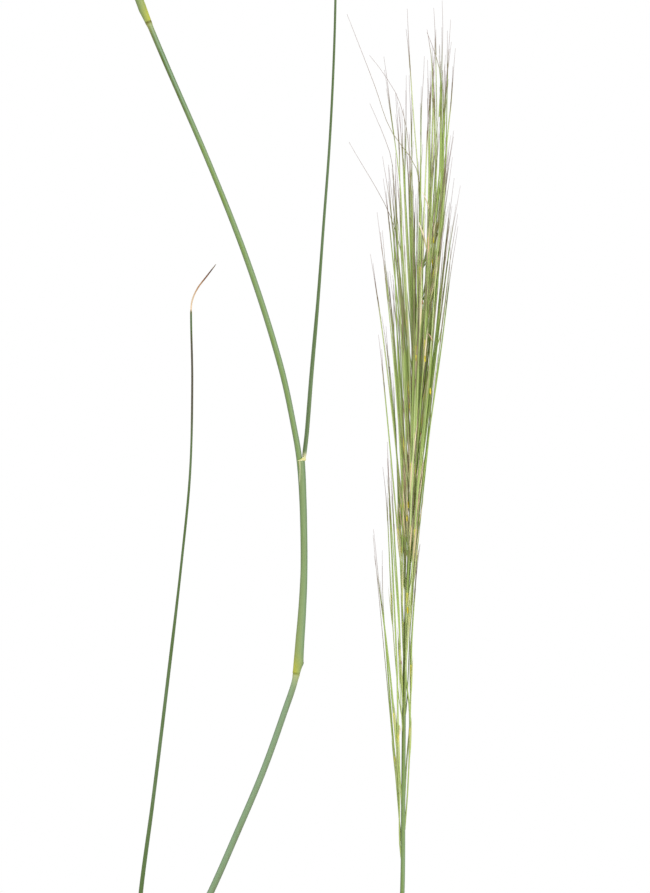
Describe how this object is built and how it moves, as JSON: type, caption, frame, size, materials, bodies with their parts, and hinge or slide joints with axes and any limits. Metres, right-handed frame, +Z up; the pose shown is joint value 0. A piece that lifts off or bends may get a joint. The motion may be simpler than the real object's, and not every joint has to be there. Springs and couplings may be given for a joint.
{
  "type": "potted ornamental grass",
  "caption": "Clay pot of wiry awned grass: jointed culms with long narrow bristly heads, thread-like rolled leaves and a low leafy crown.",
  "frame": {"origin": "middle of the pot's underside, on the surface it stands on", "axes": "+Z up; -Y faces the viewer of the picture, with +X to the right"},
  "size_m": [0.4269, 0.2542, 0.7666],
  "materials": {
    "terracotta": "matte unglazed clay",
    "soil": "matte crumbly potting mix",
    "culm": "satin, waxy bloom",
    "blade": "satin, fine ribs",
    "head": "satin bristles"
  },
  "bodies": {
    "root": {"pot": "terracotta", "soil": "soil", "culm_left": "culm", "culm_right": "culm", "culm_outer": "culm", "head_left": "head", "head_right": "head", "head_outer": "head", "blade_left_collar": "blade", "blade_left_low": "blade", "blade_left_flag": "blade", "blade_right_low": "blade", "blade_right_flag": "blade", "blade_outer_low": "blade", "blade_outer_flag": "blade", "shoot_tall_leaf": "blade", "shoot_01": "blade", "shoot_02": "blade", "shoot_03": "blade", "shoot_04": "blade", "shoot_05": "blade", "shoot_06": "blade", "shoot_07": "blade", "shoot_08": "blade", "shoot_09": "blade", "shoot_10": "blade", "shoot_11": "blade", "shoot_12": "blade"}
  },
  "joints": []
}
